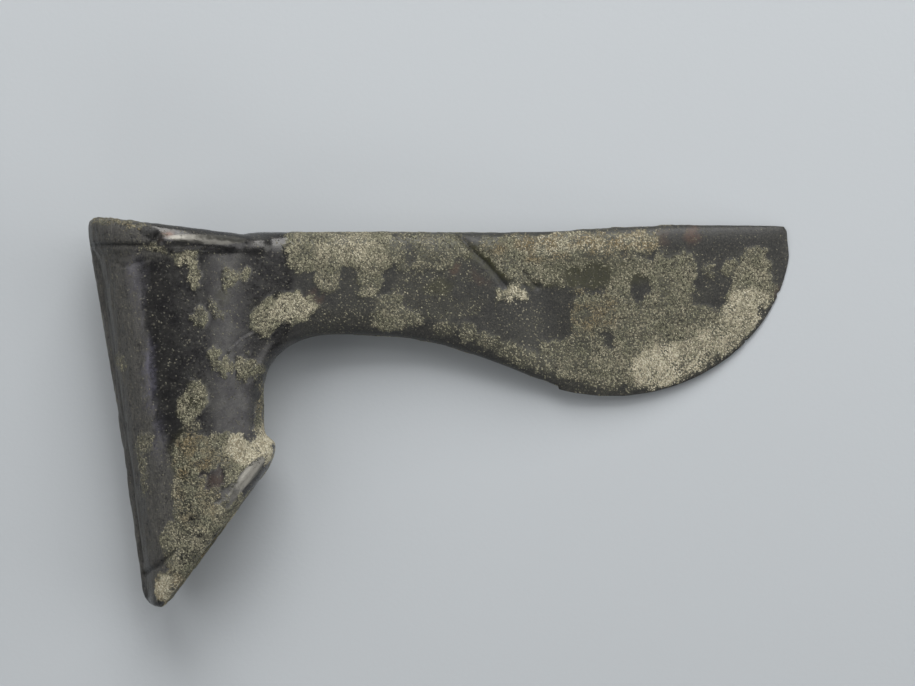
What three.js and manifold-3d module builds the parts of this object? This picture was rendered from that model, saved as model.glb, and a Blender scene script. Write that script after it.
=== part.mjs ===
// A cast bronze axe head with a shaft hole, lying on its side. Millimetres, +Z up.
//
// The form is drawn upright first: +X runs from the socket's back to the cutting edge, +Y along the
// haft towards the collar, and the middle plane of the blade is z = 0. The finished solid is then laid
// down the way a loose axe head lies, on the collar, the socket's lip and the corner of the blade.

import * as THREE from 'three';
import { LoftGeometry } from 'three/addons/geometries/LoftGeometry.js';
import { mergeVertices } from 'three/addons/utils/BufferGeometryUtils.js';
import Module from 'manifold-3d';

const { lerp, clamp, smoothstep, degToRad } = THREE.MathUtils;

// Socket: a tapering oval tube round the haft. Heights are given at its back and at its front.
const SOCKET = {
  back: 1.3, // x of the tube's back where y = 0
  lean: 0.148, // how far the back leans forward for each millimetre down
  front: 41.1, // x of the tube's front, which is upright
  halfThick: 13.4, // half thickness where y = 0
  halfTaper: 0.02, // loss of half thickness for each millimetre down
  teardrop: 0.25, // how far the widest place lies behind the middle
  wall: 3.2,
  sides: 54,
  rings: 9,
};

// Collar: the swelling band round the socket's upper mouth, tallest at the back.
const COLLAR = {
  rim: { back: 3.45, front: -1.1 },
  crease: { back: -3.9, front: -3.8 },
  cove: 4.5, // height of the hollow curve from the crease down to the tube
  coveShares: [0.12, 0.4, 0.7], // rings of that curve, as shares of its height
  coveProud: 0.62, // how far it stands out under the crease, as a share of the band
  proud: 1.15,
  backExtra: 0.4, // the band stands this much further out at the back
  roundIn: 1.9, // how far the rim's outer corner is rounded in
  roundShare: 0.45, // share of the band's height that the rounding takes
  fadeFrom: 0.04, // share of the way back from the front where the band begins to rise
  fadeTo: 0.4, // and where it has its full height
  rings: 6,
};

// Lip: the flared bead round the slanting lower mouth, whose plane runs down to a tongue at the back.
const LIP = {
  mouth: { back: -92.2, front: -57.1 },
  height: 11.5,
  proud: 0.7,
  frontExtra: 2.4, // a lump on the bead at the front
  lumpPower: 5, // how closely the lump keeps to the front
  flareFrom: { front: 0.1, back: 0.4 }, // shares of its height where it begins to stand out
  flareTo: 0.78, // and where it stands out most
  roundIn: 1.8,
  roundShare: 0.4,
  rings: 8,
};
const TONGUE = { x: 16.7, bottom: -88.2, radius: 4.2 };

// Haft hole: parallel to the socket's outside, and drawn on past both mouths.
const HOLE = { above: { back: 6, front: 8 }, below: 12, rings: 4 };

// Rib: the low flat ridge down the socket's back.
const RIB = {
  top: -3,
  bottom: -90,
  crest: -0.5, // x of its outer line where y = 0
  lean: 0.184,
  bow: 0.000375,
  halfWidth: 1.5,
  corner: 0.6,
  root: 1.2, // depth sunk in the socket wall
  stations: 10,
};

// Blade: a neck that swells into the socket and widens into a half-moon with a sharp curved edge.
const BLADE = {
  rootTop: 27, // x where its upper edge starts, inside the socket
  corner: 164.1, // x where its upper edge ends
  edgeEnd: -1, // y where the cutting edge ends, just under that corner
  topLevel: 0,
  topRise: 1.9, // the upper edge climbs this much over the half-moon
  riseFrom: 94,
  riseTo: 145,
  topRound: 4.5,
  underRound: 7,
  roundness: 2.5, // power of the rounded edges: 2 is elliptical, more is squarer
  fan: 0.9, // power that spaces the sections along the upper edge
  stations: 54,
  rows: 13,
};
const TRUNK = {
  neckHalf: 4.8,
  tipHalf: 1.5,
  thinFrom: 55,
  thinPower: 0.8,
  flareEnd: 50, // x where the neck stops swelling into the socket
  flareStart: 32, // and where the swelling has reached the socket's side
  flare: 0.0152, // swelling for each square millimetre short of the end
};
const THROAT = { x: 57, level: -24.45, run: 15.9, drop: 12.6, root: new THREE.Vector2(-3, -5) };
const NECK = { pullIn: 21, pullOut: 25.5, dip: 1.2 };
const EDGE = {
  centre: new THREE.Vector2(122.9, -1),
  reach: 42.2,
  depth: 37.9,
  start: degToRad(-107.2), // where the sharpened edge begins, at a small step in the outline
  step: 0.45,
  bevel: 1.1,
  bevelHalf: 0.35,
  slope: 0.07, // gain of half thickness for each millimetre from the edge
  blend: [-0.06, 0.03], // shares of the outline before and after its start where round turns sharp
};

const REST_FLAT = 0.15; // depth of the worn flats that it lies on
const SETTLING_PASSES = 8;
const BEYOND = 200; // more than the size of the whole piece, for shapes that only trim it

const wasm = await Module();
wasm.setup();

/** Closed three.js geometry to boolean solid. */
function solidOf(geometry) {
  const bare = new THREE.BufferGeometry();
  bare.setAttribute('position', geometry.attributes.position);
  bare.setIndex(geometry.index);
  const merged = mergeVertices(bare, 1e-4);
  return new wasm.Manifold(
    new wasm.Mesh({
      numProp: 3,
      vertProperties: new Float32Array(merged.attributes.position.array),
      triVerts: new Uint32Array(merged.index.array),
    }),
  );
}

/** Boolean solid back to a three.js geometry. */
function geometryOf(solid) {
  const { vertProperties, triVerts } = solid.getMesh();
  const geometry = new THREE.BufferGeometry();
  geometry.setAttribute('position', new THREE.BufferAttribute(vertProperties, 3));
  geometry.setIndex(new THREE.BufferAttribute(triVerts, 1));
  geometry.computeVertexNormals();
  return geometry;
}

/** Solid skinned through closed sections that all have the same number of points. */
function loft(sections) {
  return solidOf(new LoftGeometry(sections, { capStart: true, capEnd: true }));
}

/** Whole numbers from 0 to count as shares from 0 to 1. */
function shares(count) {
  return Array.from({ length: count + 1 }, (_, step) => step / count);
}

/** Rises from 0 as a rounded corner does, reaching 1 at the given reach. */
function roundedRise(distance, reach, power) {
  const left = 1 - clamp(distance / reach, 0, 1);
  return (1 - left ** power) ** (1 / power);
}

/**
 * One oval ring of the socket, lying in the plane that meets the tube's back line and front line at
 * the two heights. A positive outset moves it out from the tube's surface, angle by angle.
 */
function socketRing({ back, front }, outsetAt) {
  const backX = SOCKET.back - SOCKET.lean * back;
  const slope = (front - back) / (SOCKET.front - backX);
  const ring = [];
  for (let side = 0; side < SOCKET.sides; side++) {
    const angle = (side / SOCKET.sides) * 2 * Math.PI;
    const across = (1 + Math.cos(angle)) / 2;
    const behind = 1 - across;
    const levelX = SOCKET.back * behind + SOCKET.front * across;
    const y = (back + slope * (levelX - backX)) / (1 + slope * SOCKET.lean * behind);
    const half = SOCKET.halfThick + SOCKET.halfTaper * y;
    const halfLength = (SOCKET.front - SOCKET.back + SOCKET.lean * y) / 2;
    const normal = new THREE.Vector2(
      half * (Math.cos(angle) - SOCKET.teardrop * Math.cos(2 * angle)),
      halfLength * Math.sin(angle),
    ).normalize();
    const outset = outsetAt(behind);
    ring.push(
      new THREE.Vector3(
        levelX - SOCKET.lean * y * behind + normal.x * outset,
        y + slope * normal.x * outset,
        half * Math.sin(angle) * (1 - SOCKET.teardrop * Math.cos(angle)) + normal.y * outset,
      ),
    );
  }
  return ring;
}

/** Plane between two planes of the socket. */
function planeBetween(from, to, share) {
  return { back: lerp(from.back, to.back, share), front: lerp(from.front, to.front, share) };
}

/** Plane moved straight up or down. */
function planeMoved({ back, front }, rise) {
  return { back: back + rise, front: front + rise };
}

/** How far the collar stands out, from nothing at the front to most at the back. */
function collarProud(behind) {
  return COLLAR.proud * smoothstep(behind, COLLAR.fadeFrom, COLLAR.fadeTo) + COLLAR.backExtra * behind ** 2;
}

/** Upper part of the socket: the collar's rounded band, then the hollow curve under its crease. */
function collarRings() {
  const band = shares(COLLAR.rings).map((share) => {
    const turnedIn = 1 - roundedRise(share, COLLAR.roundShare, 2);
    return socketRing(
      planeBetween(COLLAR.rim, COLLAR.crease, share),
      (behind) => collarProud(behind) - turnedIn * COLLAR.roundIn,
    );
  });
  const cove = COLLAR.coveShares.map((share) =>
    socketRing(
      planeMoved(COLLAR.crease, -share * COLLAR.cove),
      (behind) => collarProud(behind) * COLLAR.coveProud * (1 - share) ** 2,
    ),
  );
  return [...band, ...cove];
}

/** Lower part of the socket: it flares out to the bead and rounds over to the mouth's plane. */
function lipRings() {
  return shares(LIP.rings).map((share) => {
    const turnedIn = 1 - roundedRise(1 - share, LIP.roundShare, 2);
    return socketRing(planeMoved(LIP.mouth, (1 - share) * LIP.height), (behind) => {
      const atFront = (1 - behind) ** LIP.lumpPower;
      const flareFrom = lerp(LIP.flareFrom.front, LIP.flareFrom.back, behind);
      const flare = smoothstep(share, flareFrom, LIP.flareTo);
      return flare * (LIP.proud + LIP.frontExtra * atFront) - turnedIn * LIP.roundIn;
    });
  });
}

/** The socket's outside as one solid, without its hole. */
function socketBody() {
  const tubeTop = planeMoved(COLLAR.crease, -COLLAR.cove);
  const tubeEnd = planeMoved(LIP.mouth, LIP.height);
  const plain = (share) => socketRing(planeBetween(tubeTop, tubeEnd, share), () => 0);
  const tube = shares(SOCKET.rings).slice(0, -1).map(plain);
  return loft([...collarRings(), ...tube, ...lipRings()]);
}

/** The haft's hole, open above the rim and below the mouth. */
function haftHole() {
  const { rim } = COLLAR;
  const above = { back: rim.back + HOLE.above.back, front: rim.front + HOLE.above.front };
  const below = planeMoved(LIP.mouth, -HOLE.below);
  const inside = (share) => socketRing(planeBetween(above, below, share), () => -SOCKET.wall);
  return loft(shares(HOLE.rings).map(inside));
}

/** Everything that is kept at the socket's foot: a wide plate that ends below in the round tongue. */
function tongueOutline() {
  const apex = { x: SOCKET.back - SOCKET.lean * LIP.mouth.back, y: LIP.mouth.back };
  const centreY = TONGUE.bottom + TONGUE.radius;
  const mouthSlope = Math.atan2(LIP.mouth.front - apex.y, SOCKET.front - apex.x);
  const outline = new THREE.Shape();
  outline.moveTo(-BEYOND, BEYOND);
  outline.lineTo(-BEYOND, centreY);
  outline.lineTo(TONGUE.x - TONGUE.radius, centreY);
  outline.absarc(TONGUE.x, centreY, TONGUE.radius, Math.PI, 1.5 * Math.PI + mouthSlope, false);
  outline.lineTo(BEYOND, LIP.mouth.front);
  outline.lineTo(BEYOND, BEYOND);
  const depth = 4 * SOCKET.halfThick;
  const plate = new THREE.ExtrudeGeometry(outline, { depth, bevelEnabled: false, curveSegments: 10 });
  plate.translate(0, 0, -depth / 2);
  return solidOf(plate);
}

/** The rib down the back: a bar with a rounded crest, sunk in the wall. */
function backRib() {
  const { corner, halfWidth: half } = RIB;
  const sections = shares(RIB.stations).map((share) => {
    const y = lerp(RIB.top, RIB.bottom, share);
    const crest = RIB.crest - RIB.lean * y - RIB.bow * y * y;
    const root = SOCKET.back - SOCKET.lean * y + RIB.root;
    const side = [
      new THREE.Vector3(root, y, half),
      new THREE.Vector3(crest + corner, y, half),
      new THREE.Vector3(crest + corner / 4, y, half - corner / 2),
      new THREE.Vector3(crest, y, half - corner * 1.5),
    ];
    const otherSide = side.map(({ x, z }) => new THREE.Vector3(x, y, -z));
    return [otherSide[0], ...side, ...otherSide.slice(1).reverse()];
  });
  return loft(sections);
}

/** The blade's lower outline: out of the socket, up the throat, along the neck, round the edge. */
function lowerOutline() {
  const { x, level, run, drop } = THROAT;
  const { centre, reach, depth, start } = EDGE;
  const foot = new THREE.Vector2(x - run, level - drop);
  const edgeStart = new THREE.Vector2(Math.cos(start) * reach, Math.sin(start) * depth).add(centre);
  const neckEnd = edgeStart.clone().add(new THREE.Vector2(-EDGE.step, EDGE.step));
  const edgeEnd = Math.asin((BLADE.edgeEnd - centre.y) / depth);
  const outline = new THREE.CurvePath();
  outline.add(new THREE.LineCurve(foot.clone().add(THROAT.root), foot));
  outline.add(new THREE.EllipseCurve(x, foot.y, run, drop, Math.PI, Math.PI / 2, true));
  outline.add(
    new THREE.CubicBezierCurve(
      new THREE.Vector2(x, level),
      new THREE.Vector2(x + NECK.pullIn, level),
      new THREE.Vector2(x + NECK.pullOut, level - NECK.dip),
      neckEnd,
    ),
  );
  outline.add(new THREE.EllipseCurve(centre.x, centre.y, reach, depth, start, edgeEnd, false));
  return outline;
}

/** Half thickness of the neck and blade before their edges are rounded or ground. */
function trunkHalf(x) {
  const { thinFrom, flareStart, flareEnd } = TRUNK;
  const tip = EDGE.centre.x + EDGE.reach;
  const along = clamp((x - thinFrom) / (tip - thinFrom), 0, 1);
  const short = clamp(flareEnd - x, 0, flareEnd - flareStart);
  return lerp(TRUNK.neckHalf, TRUNK.tipHalf, along ** TRUNK.thinPower) + TRUNK.flare * short * short;
}

/** Half thickness of the ground blade at a distance from its cutting edge. */
function groundHalf(full, fromEdge) {
  const ground = EDGE.bevelHalf * Math.min(1, fromEdge / EDGE.bevel) + EDGE.slope * fromEdge;
  return ground === 0 ? 0 : (full ** -4 + ground ** -4) ** -0.25;
}

/** One closed section of the blade between a point of its upper edge and one of its lower outline. */
function bladeSection(top, bottom, sharpness) {
  const height = top.distanceTo(bottom);
  const topReach = Math.min(BLADE.topRound, height / 2);
  const underReach = Math.min(BLADE.underRound, height / 2);
  const side = shares(BLADE.rows).map((row) => {
    const fromTop = (height * (1 - Math.cos(Math.PI * row))) / 2;
    const fromEdge = height - fromTop;
    const { x, y } = top.clone().lerp(bottom, fromTop / height);
    const full = trunkHalf(x);
    const round = full * roundedRise(fromEdge, underReach, BLADE.roundness);
    const half = lerp(round, groundHalf(full, fromEdge), sharpness);
    return new THREE.Vector3(x, y, half * roundedRise(fromTop, topReach, BLADE.roundness));
  });
  const otherSide = side.slice(1, -1).map(({ x, y, z }) => new THREE.Vector3(x, y, -z));
  return [...side, ...otherSide.reverse()];
}

/** Neck and half-moon: sections that fan from the upper edge to the lower outline. */
function bladeBody() {
  const lower = lowerOutline();
  const lengths = lower.getCurveLengths();
  const edgeShare = lengths.at(-2) / lengths.at(-1);
  const sections = shares(BLADE.stations).map((share) => {
    const topX = lerp(BLADE.rootTop, BLADE.corner, share ** BLADE.fan);
    const topY = BLADE.topLevel + BLADE.topRise * smoothstep(topX, BLADE.riseFrom, BLADE.riseTo);
    const sharpness = smoothstep(share, edgeShare + EDGE.blend[0], edgeShare + EDGE.blend[1]);
    return bladeSection(new THREE.Vector2(topX, topY), lower.getPointAt(share), sharpness);
  });
  return loft(sections);
}

/** The way a loose head lies: turned until its three lowest places are level. */
function lyingTurn(points) {
  const zones = [
    (point) => point.y > COLLAR.crease.back && point.x < SOCKET.front,
    (point) => point.y < LIP.mouth.front + LIP.height,
    (point) => point.x > EDGE.centre.x,
  ];
  const turn = new THREE.Quaternion();
  for (let pass = 0; pass < SETTLING_PASSES; pass++) {
    const depth = (point) => point.clone().applyQuaternion(turn).z;
    const feet = zones.map((zone) =>
      points.filter(zone).reduce((low, point) => (depth(point) < depth(low) ? point : low)),
    );
    const plane = new THREE.Plane().setFromCoplanarPoints(...feet);
    const up = plane.normal.z < 0 ? plane.normal.negate() : plane.normal;
    turn.setFromUnitVectors(up, new THREE.Vector3(0, 0, 1));
  }
  return turn;
}

/** Lays the upright geometry down, wears small flats where it rests and stands it on z = 0. */
function laidDown(geometry) {
  const { position } = geometry.attributes;
  const points = Array.from({ length: position.count }, (_, at) =>
    new THREE.Vector3().fromBufferAttribute(position, at),
  );
  geometry.applyQuaternion(lyingTurn(points));
  geometry.computeBoundingBox();
  const slab = new THREE.BoxGeometry(2 * BEYOND, 2 * BEYOND, BEYOND);
  slab.translate(0, 0, geometry.boundingBox.min.z + REST_FLAT - BEYOND / 2);
  const worn = geometryOf(solidOf(geometry).subtract(solidOf(slab)));
  worn.computeBoundingBox();
  const { min, max } = worn.boundingBox;
  return worn.translate(-(min.x + max.x) / 2, -(min.y + max.y) / 2, -min.z);
}

const body = socketBody().intersect(tongueOutline()).add(backRib().intersect(tongueOutline()));
const upright = body.add(bladeBody()).subtract(haftHole());

const bronze = new THREE.MeshStandardMaterial({ color: 0x3b3a36, roughness: 0.45, metalness: 0.85 });
const head = new THREE.Mesh(laidDown(geometryOf(upright)), bronze);
head.name = 'axe_head';

const group = new THREE.Group();
group.add(head);
export default group;
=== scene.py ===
"""A cast bronze axe head out of the ground: dark glossy patina under broken patches of pale mineral crust.

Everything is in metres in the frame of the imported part. The head lies on its side, so what grows
on its surface is worked out in millimetres of the upright drawing: u runs along the blade from the
socket's back, v up the haft, and w out of the side that faces up.
"""

import logging
from dataclasses import dataclass, field
from enum import Enum

import bmesh
import bpy
import numpy as np
from mathutils import Matrix, Vector


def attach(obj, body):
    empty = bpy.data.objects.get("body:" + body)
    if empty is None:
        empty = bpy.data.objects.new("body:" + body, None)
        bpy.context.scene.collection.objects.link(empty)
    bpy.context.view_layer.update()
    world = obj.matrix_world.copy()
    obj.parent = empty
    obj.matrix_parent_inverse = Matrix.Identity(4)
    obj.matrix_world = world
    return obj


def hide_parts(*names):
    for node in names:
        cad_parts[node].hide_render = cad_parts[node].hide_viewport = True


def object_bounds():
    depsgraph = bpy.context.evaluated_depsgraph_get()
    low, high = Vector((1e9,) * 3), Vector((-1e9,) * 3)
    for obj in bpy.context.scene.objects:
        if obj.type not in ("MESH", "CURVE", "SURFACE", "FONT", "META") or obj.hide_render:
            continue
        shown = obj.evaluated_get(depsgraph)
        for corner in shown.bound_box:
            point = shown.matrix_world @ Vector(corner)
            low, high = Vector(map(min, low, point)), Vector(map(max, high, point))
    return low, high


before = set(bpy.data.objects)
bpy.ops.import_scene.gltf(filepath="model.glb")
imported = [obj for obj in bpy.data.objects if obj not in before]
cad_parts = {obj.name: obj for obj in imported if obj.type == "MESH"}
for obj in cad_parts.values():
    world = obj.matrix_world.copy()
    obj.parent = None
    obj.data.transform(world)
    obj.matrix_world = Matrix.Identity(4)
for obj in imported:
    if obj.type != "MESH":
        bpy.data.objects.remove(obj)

CAD_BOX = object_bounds()
LOG = logging.getLogger("bronze_axe_head")

MM = 0.001
FULL_TURN = 6.28  # radians, near enough to turn a grain any way
LYING_UP = Vector((-0.0989292, 0.0215336, 0.9948615))  # way out of the upright drawing that points up here
DRAWING_ORIGIN = np.array((-81.9494, 42.4472, 16.6312))  # where the drawing's origin lies, in millimetres
STAND = np.array(LYING_UP.rotation_difference(Vector((0, 0, 1))).to_matrix())


# ---------------------------------------------------------------------------- places and patterns


def to_drawing(places: np.ndarray) -> np.ndarray:
    """Turns places in the part's frame into the upright drawing.

    Args:
        places: Points in metres, one a row.

    Returns:
        The same points as (u, v, w) in millimetres.
    """
    return (places / MM - DRAWING_ORIGIN) @ STAND


def from_drawing(points: np.ndarray) -> np.ndarray:
    """Turns (u, v, w) in millimetres back into places in the part's frame, in metres."""
    return (points @ STAND.T + DRAWING_ORIGIN) * MM


def ramp(values: np.ndarray, low: float, high: float) -> np.ndarray:
    """Smooth step from 0 at low to 1 at high."""
    share = np.clip((values - low) / (high - low), 0, 1)
    return share * share * (3 - 2 * share)


def lattice(cells: np.ndarray, seed: int) -> np.ndarray:
    """Gives each whole-numbered cell a fixed random value.

    Args:
        cells: Cells' whole numbers along three axes, one cell a row.
        seed: Picks the pattern.

    Returns:
        One value from 0 to 1 for each cell.
    """
    whole = cells.astype(np.int64) + 4096
    mixed = whole[..., 0] * 374761393 + whole[..., 1] * 668265263 + whole[..., 2] * 2147483587 + seed * 97561
    mixed &= 0xFFFFFFFF
    mixed = ((mixed ^ (mixed >> 13)) * 1274126177) & 0xFFFFFFFF
    return ((mixed ^ (mixed >> 16)) & 0xFFFFFF) / float(0x1000000)


def clouds(points: np.ndarray, size: float, seed: int, octaves: int = 1) -> np.ndarray:
    """Smooth random values round 0.5.

    Args:
        points: Places in millimetres.
        size: Width of one cloud in millimetres.
        seed: Picks the pattern.
        octaves: Layers, each half the size of the last.

    Returns:
        One value from 0 to 1 for each point.
    """
    total = np.zeros(len(points))
    weight = 0.0
    for octave in range(octaves):
        scaled = points * (2**octave / size) + 17.3 * octave
        base = np.floor(scaled)
        part = scaled - base
        part = part * part * (3 - 2 * part)
        value = np.zeros(len(points))
        for corner in np.ndindex(2, 2, 2):
            share = np.prod(np.where(np.array(corner, bool), part, 1 - part), axis=1)
            value += share * lattice(base + corner, seed + octave)
        total += value * 0.5**octave
        weight += 0.5**octave
    return total / weight


def grains(points: np.ndarray, size: float, seed: int) -> np.ndarray:
    """Round grains packed side by side.

    Args:
        points: Places in millimetres.
        size: Usual distance between grains in millimetres.
        seed: Picks the pattern.

    Returns:
        1 on top of a grain, falling to 0 in the gaps.
    """
    scaled = points / size
    base = np.floor(scaled)
    nearest = np.full(len(points), 9.0)
    for step in np.ndindex(3, 3, 3):
        cell = base + np.array(step) - 1
        heart = cell + np.stack([lattice(cell, seed + axis) for axis in range(3)], axis=1)
        nearest = np.minimum(nearest, np.linalg.norm(scaled - heart, axis=1))
    return 1 - np.clip(nearest / 0.85, 0, 1)


class Cloud(Enum):
    """Cloud patterns by what they shape: width in millimetres, seed and octaves."""

    DRIFT_U = (5.5, 11, 1)
    DRIFT_V = (5.5, 12, 1)
    RAGGED_U = (1.5, 21, 2)
    RAGGED_V = (1.5, 22, 2)
    HIDDEN_CRUST = (15.0, 51, 3)
    HIDDEN_COVER = (5.0, 61, 1)
    BORE_CRUST = (6.0, 71, 2)
    THINNING = (2.6, 81, 3)
    DUST = (7.0, 91, 2)
    PALENESS = (3.5, 96, 3)
    HIDDEN_PALE = (9.0, 101, 2)
    HIDDEN_WARM = (11.0, 111, 2)
    HIDDEN_OLIVE = (8.0, 121, 2)
    HIDDEN_RUST = (5.0, 131, 2)
    SWELL = (9.0, 211, 2)
    CRUST_SWELL = (3.0, 221, 1)
    FLAKES = (1.6, 231, 2)
    BORE_SWELL = (2.2, 241, 2)
    STROKE_RIPPLE = (1.8, 251, 2)
    NICKS = (0.9, 301, 1)
    EDGE_WEAR = (3.1, 311, 2)

    def at(self, points: np.ndarray) -> np.ndarray:
        """The pattern's values from 0 to 1 at points in millimetres."""
        return clouds(points, *self.value)


@dataclass(frozen=True)
class Patch:
    """One rounded patch on the side that faces up, in millimetres of the upright drawing."""

    u: float
    v: float
    half_long: float
    half_high: float
    turn: float = 0.0
    square: float = 2.0  # 2 is an ellipse, more is nearer a box
    cover: float = 1.0

    def depth(self, u: np.ndarray, v: np.ndarray) -> np.ndarray:
        """Distance in from the patch's border in millimetres, negative outside."""
        angle = np.radians(self.turn)
        du, dv = u - self.u, v - self.v
        along = np.abs(du * np.cos(angle) + dv * np.sin(angle)) / self.half_long
        across = np.abs(dv * np.cos(angle) - du * np.sin(angle)) / self.half_high
        reach = (along**self.square + across**self.square) ** (1 / self.square)
        return (1 - reach) * min(self.half_long, self.half_high)


@dataclass(frozen=True)
class Stroke:
    """A line cut into the surface or standing on it, through a few points of the upright drawing."""

    points: tuple[tuple[float, float], ...]
    half_width: float
    height: float  # negative is cut in

    def share(self, u: np.ndarray, v: np.ndarray) -> np.ndarray:
        """Measures how near points lie to the line.

        Args:
            u: Places along the blade in millimetres.
            v: Places up the haft in millimetres.

        Returns:
            1 on the line, falling to 0 at its border.
        """
        nearest = np.full(len(u), 1e3)
        for (u0, v0), (u1, v1) in zip(self.points, self.points[1:]):
            run = np.array((u1 - u0, v1 - v0))
            place = np.clip(((u - u0) * run[0] + (v - v0) * run[1]) / (run @ run), 0, 1)
            nearest = np.minimum(nearest, np.hypot(u - u0 - place * run[0], v - v0 - place * run[1]))
        return 1 - ramp(nearest, 0.15 * self.half_width, self.half_width)


class Growth(Enum):
    """What grows on, stains or is worn off the metal, and the painted sheen, highlights and shade on it. The
    value is the mesh attribute's name.
    """

    CRUST = "crust"
    PALE = "pale"
    WARM = "warm"
    OLIVE = "olive"
    RUST = "rust"
    BARE_AND_SHEEN = "bare_and_sheen"
    FLAKE = "flake"
    LILAC_SHEEN = "lilac"
    DULL = "dull"
    PIT_AND_SHADE = "pit_and_shade"


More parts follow.
